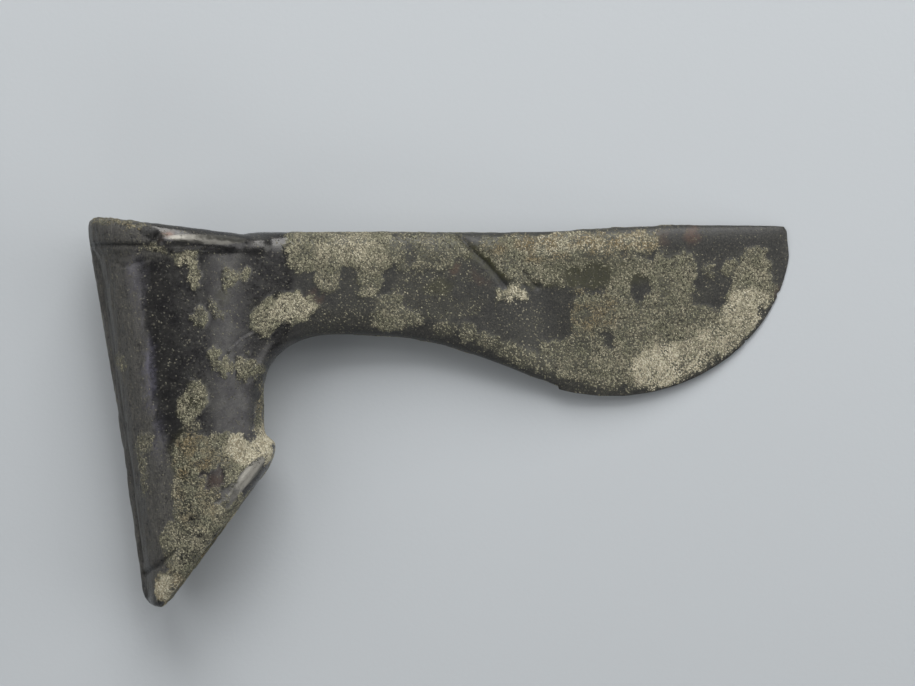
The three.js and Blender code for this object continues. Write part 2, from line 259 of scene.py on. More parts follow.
PATCHES: dict[Growth, tuple[Patch, ...]] = {
    Growth.CRUST: (
        # collar and the upper socket
        Patch(16.8, -4.8, 3.8, 0.7, -8, 2, 0.8),
        Patch(7.5, 2.0, 7.6, 0.9, -9, 2, 0.6),
        Patch(23.7, -6.2, 2.9, 1.6, 0, 2.6, 0.85),
        Patch(25.6, -10.5, 1.2, 3.8, 6, 2, 0.85),
        Patch(34.5, -10.6, 3.1, 1.7, -4, 3, 0.9),
        Patch(32.6, -12.4, 1.2, 1.2, 0, 2, 0.85),
        Patch(30.5, -18.5, 3.2, 1.2, -48, 2, 0.6),
        Patch(26.5, -20.4, 1.9, 1.9, 0, 2, 0.6),
        Patch(46.7, -18.3, 6.9, 3.6, 6, 2.2, 1.0),
        Patch(42.3, -20.6, 3.5, 3.2, 0, 2, 0.95),
        Patch(42.8, -23.9, 1.1, 1.2, 0, 2, 0.9),
        Patch(30.5, -30.4, 3.3, 1.1, -58, 2, 0.85),
        Patch(32.9, -32.2, 1.8, 1.7, 0, 2, 0.85),
        Patch(37.6, -32.2, 2.3, 2.4, 0, 2.3, 0.95),
        Patch(40.2, -33.3, 1.9, 0.9, 10, 2, 0.85),
        Patch(40.7, -41.6, 0.8, 6.8, -2, 2, 0.8),
        Patch(24.9, -39.7, 3.0, 5.6, -8, 1.7, 0.8),
        Patch(24.4, -46.0, 1.9, 2.1, 0, 2, 0.5),
        Patch(14.5, -49.0, 2.6, 2.4, 0, 2, 0.5),
        Patch(13.6, -56.0, 1.3, 6.5, 8, 2, 0.4),
        Patch(8.0, -31.0, 1.6, 2.6, 8, 2, 0.3),
        # lower socket
        Patch(29.3, -53.1, 8.5, 5.9, 0, 3.2, 0.85),
        Patch(37.8, -51.5, 5.9, 4.2, 0, 2.3, 1.0),
        Patch(42.0, -48.6, 1.9, 4.0, 0, 2, 1.0),
        Patch(27.4, -63.7, 7.1, 9.0, 0, 2.6, 0.8),
        Patch(23.7, -74.6, 5.2, 8.0, 12, 2.2, 0.75),
        Patch(20.6, -83.8, 3.8, 4.0, 0, 2.2, 0.95),
        Patch(23.7, -79.7, 7.1, 1.9, 50, 2, 0.9),
        Patch(33.6, -65.6, 8.0, 1.4, 48, 2, 0.8),
        # neck
        Patch(59.2, -4.4, 12.8, 5.0, 0, 6, 0.9),
        Patch(80.2, -4.2, 9.5, 4.6, 0, 3, 0.55),
        Patch(87.0, -6.5, 4.0, 6.0, 20, 2, 0.35),
        Patch(56.2, -11.0, 2.6, 4.4, 0, 1.6, 0.7),
        Patch(65.9, -11.0, 3.4, 4.6, 0, 1.6, 0.8),
        Patch(70.6, -19.0, 4.0, 4.2, 0, 4, 0.7),
        Patch(75.5, -20.8, 3.5, 2.4, -20, 2.2, 0.6),
        Patch(84.2, -22.7, 2.4, 2.1, 0, 2, 0.4),
        Patch(88.7, -23.9, 1.9, 2.8, 0, 2.6, 0.65),
        Patch(98.6, -27.9, 10.6, 2.1, -24, 2.2, 0.5),
        Patch(99.8, -16.4, 4.6, 3.6, 0, 1.8, 0.9),
        Patch(100.4, -6.4, 6.4, 4.6, -30, 2.4, 0.75),
        Patch(101.2, -10.5, 1.4, 2.8, 0, 2, 0.7),
        Patch(94.1, -3.7, 2.4, 2.8, 0, 2.4, 0.7),
        Patch(82.6, -13.8, 10.8, 7.1, 0, 2.4, 0.16),
        # half-moon
        Patch(114.4, -3.2, 20.3, 2.9, 2, 4, 0.8),
        Patch(117.9, -9.5, 14.6, 4.0, 0, 3, 0.62),
        Patch(121.6, -18.6, 8.6, 6.0, 0, 2.6, 0.75),
        Patch(117.9, -27.9, 12.2, 8.0, -14, 2.6, 0.66),
        Patch(136.3, -25.6, 17.9, 11.3, 0, 2.8, 0.85),
        Patch(137.2, -13.3, 6.1, 9.0, 0, 2.6, 0.85),
        Patch(156.0, -16.1, 6.1, 12.7, -14, 2.4, 0.95),
        Patch(163.6, -2.7, 0.9, 4.2, 0, 2, 0.6),
        Patch(160.3, -0.1, 2.1, 1.2, 0, 2, 0.6),
    ),
    Growth.PALE: (
        Patch(39.0, -50.5, 6.4, 4.4, 0, 2.2, 1.4),
        Patch(20.4, -84.0, 4.0, 3.3, 0, 2, 1.0),
        Patch(42.0, -48.6, 2.2, 4.2, 0, 2, 1.0),
        Patch(137.7, -31.7, 9.9, 6.1, 10, 2.2, 0.9),
        Patch(154.4, -20.8, 6.1, 8.0, -14, 2, 0.8),
        Patch(148.5, -26.7, 8.0, 5.7, 30, 2, 0.7),
        Patch(117.9, -2.7, 16.5, 2.6, 2, 3, 0.7),
        Patch(47.7, -18.3, 5.2, 2.8, 6, 2, 0.6),
        Patch(99.8, -16.2, 4.0, 3.3, 0, 2, 0.8),
        Patch(61.4, -4.4, 8.0, 3.3, 0, 2, 0.35),
        Patch(24.4, -7.2, 2.4, 2.4, 0, 2, 0.3),
    ),
    Growth.WARM: (
        Patch(114.4, -3.2, 20.3, 3.3, 2, 3, 0.9),
        Patch(117.9, -18.5, 7.1, 5.9, 0, 2, 0.7),
        Patch(24.9, -52.6, 4.7, 6.6, 0, 2, 0.9),
        Patch(26.0, -63.2, 5.2, 6.1, 0, 2, 0.5),
        Patch(19.0, -83.3, 4.7, 4.7, 0, 2, 0.7),
        Patch(7.2, 1.8, 7.1, 2.4, -8, 2, 0.6),
        Patch(33.1, -51.5, 4.7, 3.8, 0, 2, 0.4),
        Patch(40.6, -42.0, 1.2, 7.1, 0, 2, 0.5),
    ),
    Growth.OLIVE: (
        Patch(92.9, -6.9, 8.5, 1.4, -42, 2, 0.9),
        Patch(104.0, -11.7, 2.1, 0.9, -45, 2, 0.9),
        Patch(117.9, -10.0, 14.1, 3.3, 0, 2.6, 0.55),
        Patch(24.9, -39.7, 2.8, 5.4, -8, 1.7, 0.6),
        Patch(41.3, -19.0, 2.6, 3.1, 0, 2, 0.3),
        Patch(82.6, -12.6, 3.3, 2.1, 0, 2, 0.5),
        Patch(23.0, -52.6, 2.8, 5.9, 0, 2, 0.5),
        Patch(31.9, -15.0, 1.9, 2.4, 0, 2, 0.2),
    ),
    Growth.RUST: (
        Patch(86.6, -8.6, 1.4, 1.4, 0, 2, 0.8),
        Patch(141.9, -1.3, 1.5, 1.9, 0, 2, 0.8),
        Patch(120.0, -19.0, 1.9, 1.9, 0, 2, 0.5),
        Patch(19.4, -1.5, 1.2, 0.9, 0, 2, 0.9),
        Patch(161.5, -14.3, 1.2, 1.2, 0, 2, 0.6),
        Patch(29.6, -58.1, 1.6, 1.9, 0, 3, 0.55),
        Patch(52.9, -15.2, 0.9, 1.4, 0, 2, 0.6),
        Patch(68.7, -22.0, 0.9, 0.7, 0, 2, 0.6),
        Patch(92.0, -11.4, 1.9, 0.7, -40, 2, 0.5),
        Patch(134.9, -2.0, 1.4, 1.6, 0, 2, 0.5),
    ),
    Growth.BARE_AND_SHEEN: (
        # the lip, worn through, its weaker second patch a painted highlight fading along it; and a guessed
        # strip along the socket's top edge, which is a painted highlight
        Patch(38.3, -56.6, 4.6, 1.5, 51, 2.2, 1.0),
        Patch(36.2, -59.4, 5.2, 1.3, 51, 2.2, 0.5),
        Patch(28.5, -2.2, 9.5, 1.2, -2, 2, 0.66),
    ),
    Growth.FLAKE: (
        Patch(7.2, -0.5, 8.4, 5.2, -6, 4, 0.9),
        Patch(12.5, -5.6, 9.5, 1.8, -2, 3, 0.9),
        Patch(16.2, -62.0, 5.6, 15.0, 4, 3, 0.9),
        Patch(7.7, -27.9, 6.6, 25.9, 8, 3, 1.0),
        Patch(11.9, -58.5, 6.1, 21.2, 8, 3, 1.0),
        Patch(15.7, -77.4, 5.2, 8.0, 6, 2.4, 1.0),
    ),
    Growth.LILAC_SHEEN: (
        # painted sheen: a lighter lilac band down the socket's left flank
        Patch(15.2, -34.5, 1.7, 8.0, 0, 2, 0.9),
        Patch(12.6, -13.8, 2.2, 9.4, 0, 2, 0.3),
        Patch(17.8, -48.4, 1.4, 5.2, 0, 2, 0.5),
    ),
    Growth.DULL: (
        Patch(109.0, -14.0, 60.0, 30.0, 0, 6, 0.85),
    ),
}

# Places where the crust has come away, and small islands of it that stayed inside them.
GAPS: tuple[Patch, ...] = (
    Patch(35.2, -13.1, 1.9, 0.8, 0, 2, 1.0),
    Patch(38.7, -46.8, 1.2, 2.4, 0, 2.4, 1.0),
    Patch(29.6, -57.6, 2.0, 2.2, 0, 5, 1.0),
    Patch(76.2, -4.8, 1.6, 2.6, 0, 2.2, 0.7),
    Patch(60.9, -11.9, 2.1, 2.1, 0, 3, 1.0),
    Patch(118.8, -11.2, 3.3, 4.0, 0, 2.4, 0.95),
    Patch(113.9, -11.4, 2.1, 2.4, 0, 2, 0.8),
    Patch(129.9, -13.5, 2.4, 3.8, 0, 2.4, 1.0),
    Patch(121.9, -26.0, 1.9, 1.6, 0, 2.2, 0.95),
    Patch(149.7, -1.1, 15.1, 3.1, 0, 4, 1.0),
    Patch(146.6, -10.7, 3.8, 7.3, -10, 3.4, 1.0),
    Patch(136.3, -3.4, 2.8, 2.8, 0, 3, 0.8),
    Patch(162.4, -7.4, 2.1, 6.4, 4, 3, 0.95),
    Patch(148.5, -30.3, 2.6, 1.4, 28, 2.4, 0.9),
    Patch(158.2, -19.2, 1.2, 1.5, 0, 2, 0.8),
    Patch(143.1, -33.3, 2.1, 0.8, 15, 2, 0.7),
    Patch(102.6, -21.3, 11.3, 4.2, -8, 2.4, 0.95),
    Patch(89.6, -11.0, 5.2, 5.2, 0, 2.2, 0.7),
    Patch(108.3, -18.6, 4.8, 6.0, 0, 2.4, 0.9),
    Patch(126.8, -37.8, 14.1, 0.9, -6, 2, 0.6),
    Patch(37.1, -58.5, 6.8, 1.6, 52, 2.4, 1.0),
    Patch(31.7, -61.6, 1.2, 3.3, -35, 2, 0.8),
)
ISLANDS: tuple[Patch, ...] = (
    Patch(150.4, -8.1, 1.9, 1.8, 0, 2, 0.95),
    Patch(145.9, -8.4, 1.1, 1.6, 0, 2, 0.7),
)
STROKES: dict[str, Stroke] = {
    "collar crease": Stroke(((0.0, -3.4), (6.0, -3.6), (12.0, -3.8), (16.0, -3.9)), 0.8, -0.3),
    # guessed: a low swelling along the socket's top edge
    "top shoulder": Stroke(((20.0, -3.3), (26.0, -2.9), (33.0, -3.1), (41.0, -3.3)), 2.6, 0.6),
    "lower arc": Stroke(((6.8, -7.4), (9.5, -8.6), (12.5, -7.6), (16.0, -6.6), (20.0, -7.0)), 0.4, -0.15),
    "neck groove": Stroke(
        ((86.6, -0.6), (89.6, -3.9), (93.4, -7.4), (96.7, -11.2), (98.3, -13.1)), half_width=0.9, height=-0.35
    ),
    "groove branch": Stroke(((102.3, -9.5), (104.0, -11.7), (105.6, -13.3)), 0.7, -0.3),
    "chipped arc": Stroke(((105.9, -9.1), (107.3, -10.2), (108.2, -12.1), (108.7, -13.1)), 0.45, 0.18),
    "flank crack": Stroke(((12.6, -26.7), (13.5, -30.7), (12.8, -33.6), (14.0, -36.2)), 0.35, -0.12),
    "throat bead": Stroke(
        (
            (33.6, -28.4), (36.6, -25.6), (40.6, -23.4), (46.0, -22.0),
            (51.9, -21.3), (59.0, -21.6), (74.3, -23.4),
        ),
        half_width=0.6,
        height=0.22,
    ),
    "rib foot": Stroke(
        ((2.7, -7.2), (4.4, -16.1), (6.2, -27.9), (8.8, -46.8), (11.0, -63.2), (12.6, -77.4)),
        half_width=0.5,
        height=-0.2,
    ),
    "tongue line": Stroke(((12.6, -80.7), (14.7, -79.3), (17.8, -77.4), (21.3, -74.3)), 0.8, -0.3),
    "leaf edge": Stroke(((24.1, -34.3), (26.0, -35.9), (26.7, -38.3), (27.9, -40.2)), 0.35, 0.15),
}
PITS_AND_SHADE: tuple[Patch, ...] = (
    # in the collar's recess, painted shade; the rest are small pits darkened black
    Patch(15.6, -0.7, 2.2, 1.5, -10, 2, 0.75),
    Patch(25.1, -67.0, 0.6, 0.5),
    Patch(27.2, -71.0, 0.7, 0.4),
    Patch(30.6, -71.2, 0.5, 0.5),
    Patch(16.8, -5.0, 0.4, 0.3),
    Patch(20.5, -5.2, 0.4, 0.3),
    Patch(44.2, -15.4, 0.5, 0.4),
)


# --------------------------------------------------------------------------------------- finishes


def linear(hex_colour: str) -> tuple[float, float, float, float]:
    """Turns an sRGB hex colour such as "#80a0c0" into linear red, green, blue and alpha."""
    parts = [int(hex_colour[i : i + 2], 16) / 255 for i in (1, 3, 5)]
    return (*(p / 12.92 if p <= 0.04045 else ((p + 0.055) / 1.055) ** 2.4 for p in parts), 1.0)


def put(
    tree: bpy.types.NodeTree, kind: str, options: dict | None = None, inputs: dict | None = None
) -> bpy.types.Node:
    """Adds one node with its settings and links.

    Args:
        tree: Node tree to add to.
        kind: Blender's name for the node's type.
        options: Properties of the node by name.
        inputs: Values or output sockets for its inputs, by name or number.

    Returns:
        The new node.
    """
    node = tree.nodes.new(kind)
    for name, value in (options or {}).items():
        setattr(node, name, value)
    for key, value in (inputs or {}).items():
        if isinstance(value, bpy.types.NodeSocket):
            tree.links.new(value, node.inputs[key])
        else:
            node.inputs[key].default_value = value
    return node


MATH, BLEND, RANGE, NOISE = "ShaderNodeMath", "ShaderNodeMix", "ShaderNodeMapRange", "ShaderNodeTexNoise"
MIX = {"data_type": "RGBA"}
ADD, MAXIMUM = {"operation": "ADD"}, {"operation": "MAXIMUM"}
MULTIPLY = {"operation": "MULTIPLY"}
MULTIPLY_CLAMPED = {"operation": "MULTIPLY", "use_clamp": True}
MULTIPLY_ADD = {"operation": "MULTIPLY_ADD"}
A, B, MIXED = 6, 7, 2  # a colour Mix node's two colour inputs and its output


def new_material(name: str) -> tuple[bpy.types.Material, bpy.types.NodeTree, bpy.types.NodeSocket]:
    """Makes an empty material that counts its Object coordinates in millimetres.

    Args:
        name: The finish's name.

    Returns:
        The material, its node tree and the socket of its coordinates in millimetres.
    """
    material = bpy.data.materials.new(name)
    material.use_nodes = True
    tree = material.node_tree
    tree.nodes.clear()
    place = put(tree, "ShaderNodeTexCoord")
    in_mm = put(tree, "ShaderNodeMapping", None, {0: place.outputs["Object"], 3: (1 / MM,) * 3})
    return material, tree, in_mm.outputs[0]


@dataclass(frozen=True)
class MineralCrust:
    """Lime, clay and copper salts hardened on the bronze: dead matt, gritty, cream to yellow-green."""

    cream: str = "#b3ab92"
    green: str = "#83816a"
    ochre: str = "#7f6f4e"
    # the dark between the grains, partly the crust's dark ground and partly painted shade
    gap: str = "#25231e"
    # painted glints on the lightest grain tops
    painted_glint: str = "#cdc6b0"
    grit: float = 0.3  # millimetres between grains
    cloud: float = 3.2  # millimetres over which its colour changes
    roughness: float = 0.92
    film: float = 0.36  # opacity of the thin film between the grains where the cover is whole
    grain_border: float = 0.12  # how softly a grain's presence fades in

    def colour(self, tree: bpy.types.NodeTree, mm: bpy.types.NodeSocket) -> tuple[bpy.types.NodeSocket, ...]:
        """Adds the nodes of the crust's colour.

        Args:
            tree: Node tree of the material that shows crust.
            mm: Its coordinates in millimetres.

        Returns:
            The colour, the height of the grit from 0 in the gaps to 1, and a random value of each
            grain, which says how much cover it takes for that grain to be there.
        """
        blur = put(tree, NOISE, None, {"Vector": mm, "Scale": 1.3 / self.grit, "Detail": 2.0})
        loose = put(
            tree,
            "ShaderNodeVectorMath",
            MULTIPLY_ADD,
            {0: blur.outputs["Color"], 1: (0.6 * self.grit,) * 3, 2: mm},
        )
        grit = put(
            tree,
            "ShaderNodeTexVoronoi",
            {"feature": "F1"},
            {"Vector": loose.outputs[0], "Scale": 1 / self.grit},
        )
        chance = put(tree, "ShaderNodeSeparateColor", None, {0: grit.outputs["Color"]})
        cloud = put(tree, NOISE, None, {"Vector": mm, "Scale": 1 / self.cloud, "Detail": 3.0})
        pale = put(tree, "ShaderNodeAttribute", {"attribute_name": Growth.PALE.value})
        warm = put(tree, "ShaderNodeAttribute", {"attribute_name": Growth.WARM.value})
        height = put(tree, RANGE, None, {0: grit.outputs["Distance"], 1: 0.8, 2: 0.15})
        leaning = put(
            tree, MATH, MULTIPLY_ADD, {0: pale.outputs["Fac"], 1: 0.35, 2: cloud.outputs[0]}
        )
        creaminess = put(tree, RANGE, None, {0: leaning.outputs[0], 1: 0.36, 2: 0.85})
        body = put(
            tree, BLEND, MIX, {0: creaminess.outputs[0], A: linear(self.green), B: linear(self.cream)}
        )
        blotch = put(tree, RANGE, None, {0: cloud.outputs[0], 1: 0.4, 2: 0.62})
        ochre_share = put(tree, MATH, MULTIPLY, {0: warm.outputs["Fac"], 1: blotch.outputs[0]})
        warmed = put(
            tree, BLEND, MIX, {0: ochre_share.outputs[0], A: body.outputs[MIXED], B: linear(self.ochre)}
        )
        # Each grain is lighter on its top and darker towards its rim: painted light and shade over its own
        # random tone. The lightest tops take painted glints.
        shade = put(tree, MATH, MULTIPLY_ADD, {0: height.outputs[0], 1: 0.45, 2: chance.outputs[1]})
        lift = put(tree, MATH, MULTIPLY_ADD, {0: pale.outputs["Fac"], 1: 0.42, 2: shade.outputs[0]})
        light = put(tree, RANGE, None, {0: lift.outputs[0], 1: 0.2, 2: 1.15})
        shown = put(tree, BLEND, MIX, {0: light.outputs[0], A: linear(self.gap), B: warmed.outputs[MIXED]})
        painted_glint_share = put(tree, RANGE, None, {0: lift.outputs[0], 1: 1.15, 2: 1.6})
        with_painted_glint = put(
            tree, BLEND, MIX, {0: painted_glint_share.outputs[0], A: shown.outputs[MIXED], B: linear(self.painted_glint)}
        )
        return with_painted_glint.outputs[MIXED], height.outputs[0], chance.outputs[0]

    def crumb_material(self) -> bpy.types.Material:
        """Makes the material of the loose-looking grains that stand on the crust.

        Returns:
            The material.
        """
        material, tree, mm = new_material("mineral_crumbs")
        colour, grit, _ = self.colour(tree, mm)
        softened = put(tree, BLEND, MIX, {0: 0.25, A: colour, B: linear(self.cream)})
        bump = put(tree, "ShaderNodeBump", None, {"Strength": 0.5, "Distance": 0.1 * MM, "Height": grit})
        shader = put(
            tree,
            "ShaderNodeBsdfPrincipled",
            None,
            {"Base Color": softened.outputs[MIXED], "Roughness": self.roughness, "Normal": bump.outputs[0]},
        )
        put(tree, "ShaderNodeOutputMaterial", None, {0: shader.outputs[0]})
        return material


@dataclass(frozen=True)
class PatinatedBronze:
    """Tin bronze, cast, hammered and ground smooth, that turned near-black and glossy in the soil.

    The dark skin is an even tin-rich oxide, so it reflects softly like polished stone, and shows
    fine grinding scratches. Crust, stains, worn-through metal and painted sheen, highlights and shade lie
    over it.
    """

    skin: str = "#4a4947"
    skin_deep: str = "#373637"
    # colour of the painted sheen on the socket's left flank
    skin_lilac_sheen: str = "#6f6d7c"
    weathered: str = "#181816"
    weathered_pale: str = "#3f3e38"
    flake: str = "#4e4c46"
    olive: str = "#3b3a1c"
    rust: str = "#584032"
    # worn-through metal of the lip, and the colour of the painted highlights there and along the socket's top
    # edge
    bare_and_sheen: str = "#6b6963"
    # black of the pits, and of the painted shade along the cut lines and in the collar's recess
    black: str = "#131312"
    roughness: float = 0.27
    metallic: float = 0.72
    crust: MineralCrust = field(default_factory=MineralCrust)

    def material(self) -> bpy.types.Material:
        """Builds the procedural material.

        Returns:
            The material, which reads one attribute for each growth.
        """
        material, tree, mm = new_material("patinated_bronze")
        fact = {
            growth: put(tree, "ShaderNodeAttribute", {"attribute_name": growth.value}).outputs["Fac"]
            for growth in Growth
        }
        crust_colour, grit, rarity = self.crust.colour(tree, mm)

        # Skin: cloudy dark grey, with a lighter lilac painted sheen down the socket's left flank, and streaks
        # down the flaking flank.
        cloud = put(tree, NOISE, None, {"Vector": mm, "Scale": 0.3, "Detail": 5.0, "Roughness": 0.6})
        fine = put(tree, NOISE, None, {"Vector": mm, "Scale": 1.6, "Detail": 3.0})
        down = put(tree, "ShaderNodeMapping", None, {0: mm, 2: (0, 0, 0.14), 3: (3.2, 0.8, 3.2)})
        streak = put(
            tree, NOISE, None, {"Vector": down.outputs[0], "Scale": 1.0, "Detail": 5.0, "Roughness": 0.65}
        )
        across = put(tree, "ShaderNodeMapping", None, {0: mm, 2: (0, 0, 0.75), 3: (0.25, 4.2, 1.0)})
        scratch = put(tree, NOISE, None, {"Vector": across.outputs[0], "Scale": 1.0, "Detail": 2.0})
        tone = put(tree, RANGE, None, {0: cloud.outputs[0], 1: 0.36, 2: 0.66})
        skin = put(tree, BLEND, MIX, {0: tone.outputs[0], A: linear(self.skin_deep), B: linear(self.skin)})
        lilac_sheen_share = put(tree, MATH, MULTIPLY, {0: fact[Growth.LILAC_SHEEN], 1: fine.outputs[0]})
        lilac = put(
            tree,
            BLEND,
            MIX,
            {0: lilac_sheen_share.outputs[0], A: skin.outputs[MIXED], B: linear(self.skin_lilac_sheen)},
        )
        mottle = put(tree, NOISE, None, {"Vector": mm, "Scale": 2.2, "Detail": 4.0, "Roughness": 0.75})
        mixed_grain = put(tree, BLEND, None, {0: 0.5, 2: streak.outputs[0], 3: mottle.outputs[0]})
        streaked = put(tree, RANGE, None, {0: mixed_grain.outputs[0], 1: 0.42, 2: 0.58})
        flake_share = put(tree, MATH, MULTIPLY, {0: fact[Growth.FLAKE], 1: streaked.outputs[0]})
        flaked = put(
            tree, BLEND, MIX, {0: flake_share.outputs[0], A: lilac.outputs[MIXED], B: linear(self.flake)}
        )
        dulled_tone = put(tree, MATH, MULTIPLY, {0: tone.outputs[0], 1: fact[Growth.DULL]})
        dull_share = put(
            tree, MATH, MULTIPLY_ADD, {0: dulled_tone.outputs[0], 1: 0.4, 2: fact[Growth.DULL]}
        )
        dull = put(tree, MATH, MULTIPLY_CLAMPED, {0: dull_share.outputs[0], 1: 0.8})
        speck = put(tree, NOISE, None, {"Vector": mm, "Scale": 2.6, "Detail": 4.0, "Roughness": 0.7})
        specks = put(tree, RANGE, None, {0: speck.outputs[0], 1: 0.44, 2: 0.66})
        dusty = put(
            tree,
            BLEND,
            MIX,
            {0: specks.outputs[0], A: linear(self.weathered), B: linear(self.weathered_pale)},
        )
        weathered = put(
            tree, BLEND, MIX, {0: dull.outputs[0], A: flaked.outputs[MIXED], B: dusty.outputs[MIXED]}
        )

        # Stains soak into the skin with cloudy borders.
        shown = weathered.outputs[MIXED]
        for growth, colour, reach in (
            (Growth.OLIVE, self.olive, 1.5),
            (Growth.RUST, self.rust, 1.1),
        ):
            share = put(tree, MATH, MULTIPLY, {0: fact[growth], 1: fine.outputs[0]})
            strong = put(tree, MATH, MULTIPLY_CLAMPED, {0: share.outputs[0], 1: reach})
            shown = put(
                tree, BLEND, MIX, {0: strong.outputs[0], A: shown, B: linear(colour)}
            ).outputs[MIXED]

        # Crust: its cover is the share of the grains that are there.
        spare = put(tree, MATH, {"operation": "SUBTRACT"}, {0: fact[Growth.CRUST], 1: rarity})
        grown = put(
            tree,
            RANGE,
            {"interpolation_type": "SMOOTHSTEP"},
            {0: spare.outputs[0], 1: -self.crust.grain_border, 2: self.crust.grain_border},
        )
        film = put(tree, MATH, MULTIPLY_CLAMPED, {0: fact[Growth.CRUST], 1: self.crust.film})
        filmed = put(tree, BLEND, MIX, {0: film.outputs[0], A: shown, B: linear(self.crust.green)})
        crusted = put(tree, BLEND, MIX, {0: grown.outputs[0], A: filmed.outputs[MIXED], B: crust_colour})

        # Bare metal where a thumb or a brush has worn the lip, its weaker half a painted highlight fading
        # along it; a painted highlight strip along the socket's top edge; black in the pits, and as painted
        # shade along the cut lines and in the collar's recess.
        worn_and_sheen_share = put(tree, RANGE, None, {0: fact[Growth.BARE_AND_SHEEN], 1: 0.35, 2: 0.7})
        worn = put(
            tree, BLEND, MIX, {0: worn_and_sheen_share.outputs[0], A: crusted.outputs[MIXED], B: linear(self.bare_and_sheen)}
        )
        pitted_and_shaded = put(tree, BLEND, MIX, {0: fact[Growth.PIT_AND_SHADE], A: worn.outputs[MIXED], B: linear(self.black)})

        # Gloss: the skin shines, the crust doesn't, and bare metal is nearly a mirror.
        either = put(tree, MATH, MAXIMUM, {0: grown.outputs[0], 1: flake_share.outputs[0]})
        matt = put(tree, MATH, MAXIMUM, {0: either.outputs[0], 1: dull.outputs[0]})
        skin_rough = put(
            tree,
            RANGE,
            None,
            {0: fine.outputs[0], 1: 0.3, 2: 0.7, 3: self.roughness - 0.06, 4: self.roughness + 0.1},
        )
        half_rough = put(tree, BLEND, None, {0: matt.outputs[0], 2: skin_rough.outputs[0], 3: 0.55})
        rough = put(
            tree, BLEND, None, {0: grown.outputs[0], 2: half_rough.outputs[0], 3: self.crust.roughness}
        )
        gloss = put(tree, BLEND, None, {0: worn_and_sheen_share.outputs[0], 2: rough.outputs[0], 3: 0.34})
        metal = put(tree, RANGE, None, {0: matt.outputs[0], 3: self.metallic, 4: 0.0})
        metallic = put(tree, BLEND, None, {0: worn_and_sheen_share.outputs[0], 2: metal.outputs[0], 3: 0.95})

        # Relief too fine for the mesh: grit on the crust and grinding scratches on the skin.
        grit_height = put(tree, MATH, MULTIPLY, {0: grit, 1: grown.outputs[0]})
        scratches = put(tree, RANGE, None, {0: matt.outputs[0], 3: 0.05, 4: 0.0})
        scratch_height = put(tree, MATH, MULTIPLY, {0: scratch.outputs[0], 1: scratches.outputs[0]})
        flake_height = put(tree, MATH, MULTIPLY, {0: flake_share.outputs[0], 1: 0.25})
        height = put(tree, MATH, ADD, {0: grit_height.outputs[0], 1: scratch_height.outputs[0]})
        relief = put(tree, MATH, ADD, {0: height.outputs[0], 1: flake_height.outputs[0]})
        bump = put(
            tree,
            "ShaderNodeBump",
            None,
            {"Strength": 1.0, "Distance": 0.2 * MM, "Height": relief.outputs[0]},
        )
        shader = put(
            tree,
            "ShaderNodeBsdfPrincipled",
            None,
            {
                "Base Color": pitted_and_shaded.outputs[MIXED],
                "Roughness": gloss.outputs[0],
                "Metallic": metallic.outputs[0],
                "Normal": bump.outputs[0],
            },
        )
        put(tree, "ShaderNodeOutputMaterial", None, {0: shader.outputs[0]})
        return material


@dataclass(frozen=True)
class StudioPaper:
    """Matt seamless background paper: an even cool pale grey with no sheen."""

    colour: str = "#b4b8bb"
    roughness: float = 0.95

    def material(self) -> bpy.types.Material:
        """Builds the paper's material.

        Returns:
            The material.
        """
        material, tree, mm = new_material("studio_paper")
        tooth = put(tree, NOISE, None, {"Vector": mm, "Scale": 0.9, "Detail": 4.0})
        bump = put(
            tree,
            "ShaderNodeBump",
            None,
            {"Strength": 0.15, "Distance": 0.2 * MM, "Height": tooth.outputs[0]},
        )
        shader = put(
            tree,
            "ShaderNodeBsdfPrincipled",
            None,
            {"Base Color": linear(self.colour), "Roughness": self.roughness, "Normal": bump.outputs[0]},
        )
        put(tree, "ShaderNodeOutputMaterial", None, {0: shader.outputs[0]})
        return material


# --------------------------------------------------------------------------------------- the head


def settled_mesh(piece: bpy.types.Object, name: str) -> bpy.types.Mesh:
    """Turns a piece with live modifiers into a plain mesh, as Blender evaluates it now.

    Args:
        piece: The piece with its modifiers.
        name: What to call the mesh.

    Returns:
        The plain mesh.
    """
    graph = bpy.context.evaluated_depsgraph_get()
    graph.update()
    mesh = bpy.data.meshes.new_from_object(piece.evaluated_get(graph))
    mesh.name = name
    return mesh


def piece_from(name: str, mesh: bpy.types.Mesh) -> bpy.types.Object:
    """Puts a mesh in the scene as a piece at the origin.

    Args:
        name: What to call the piece.
        mesh: Its mesh.

    Returns:
        The piece.
    """
    piece = bpy.data.objects.new(name, mesh)
    bpy.context.scene.collection.objects.link(piece)
    return piece


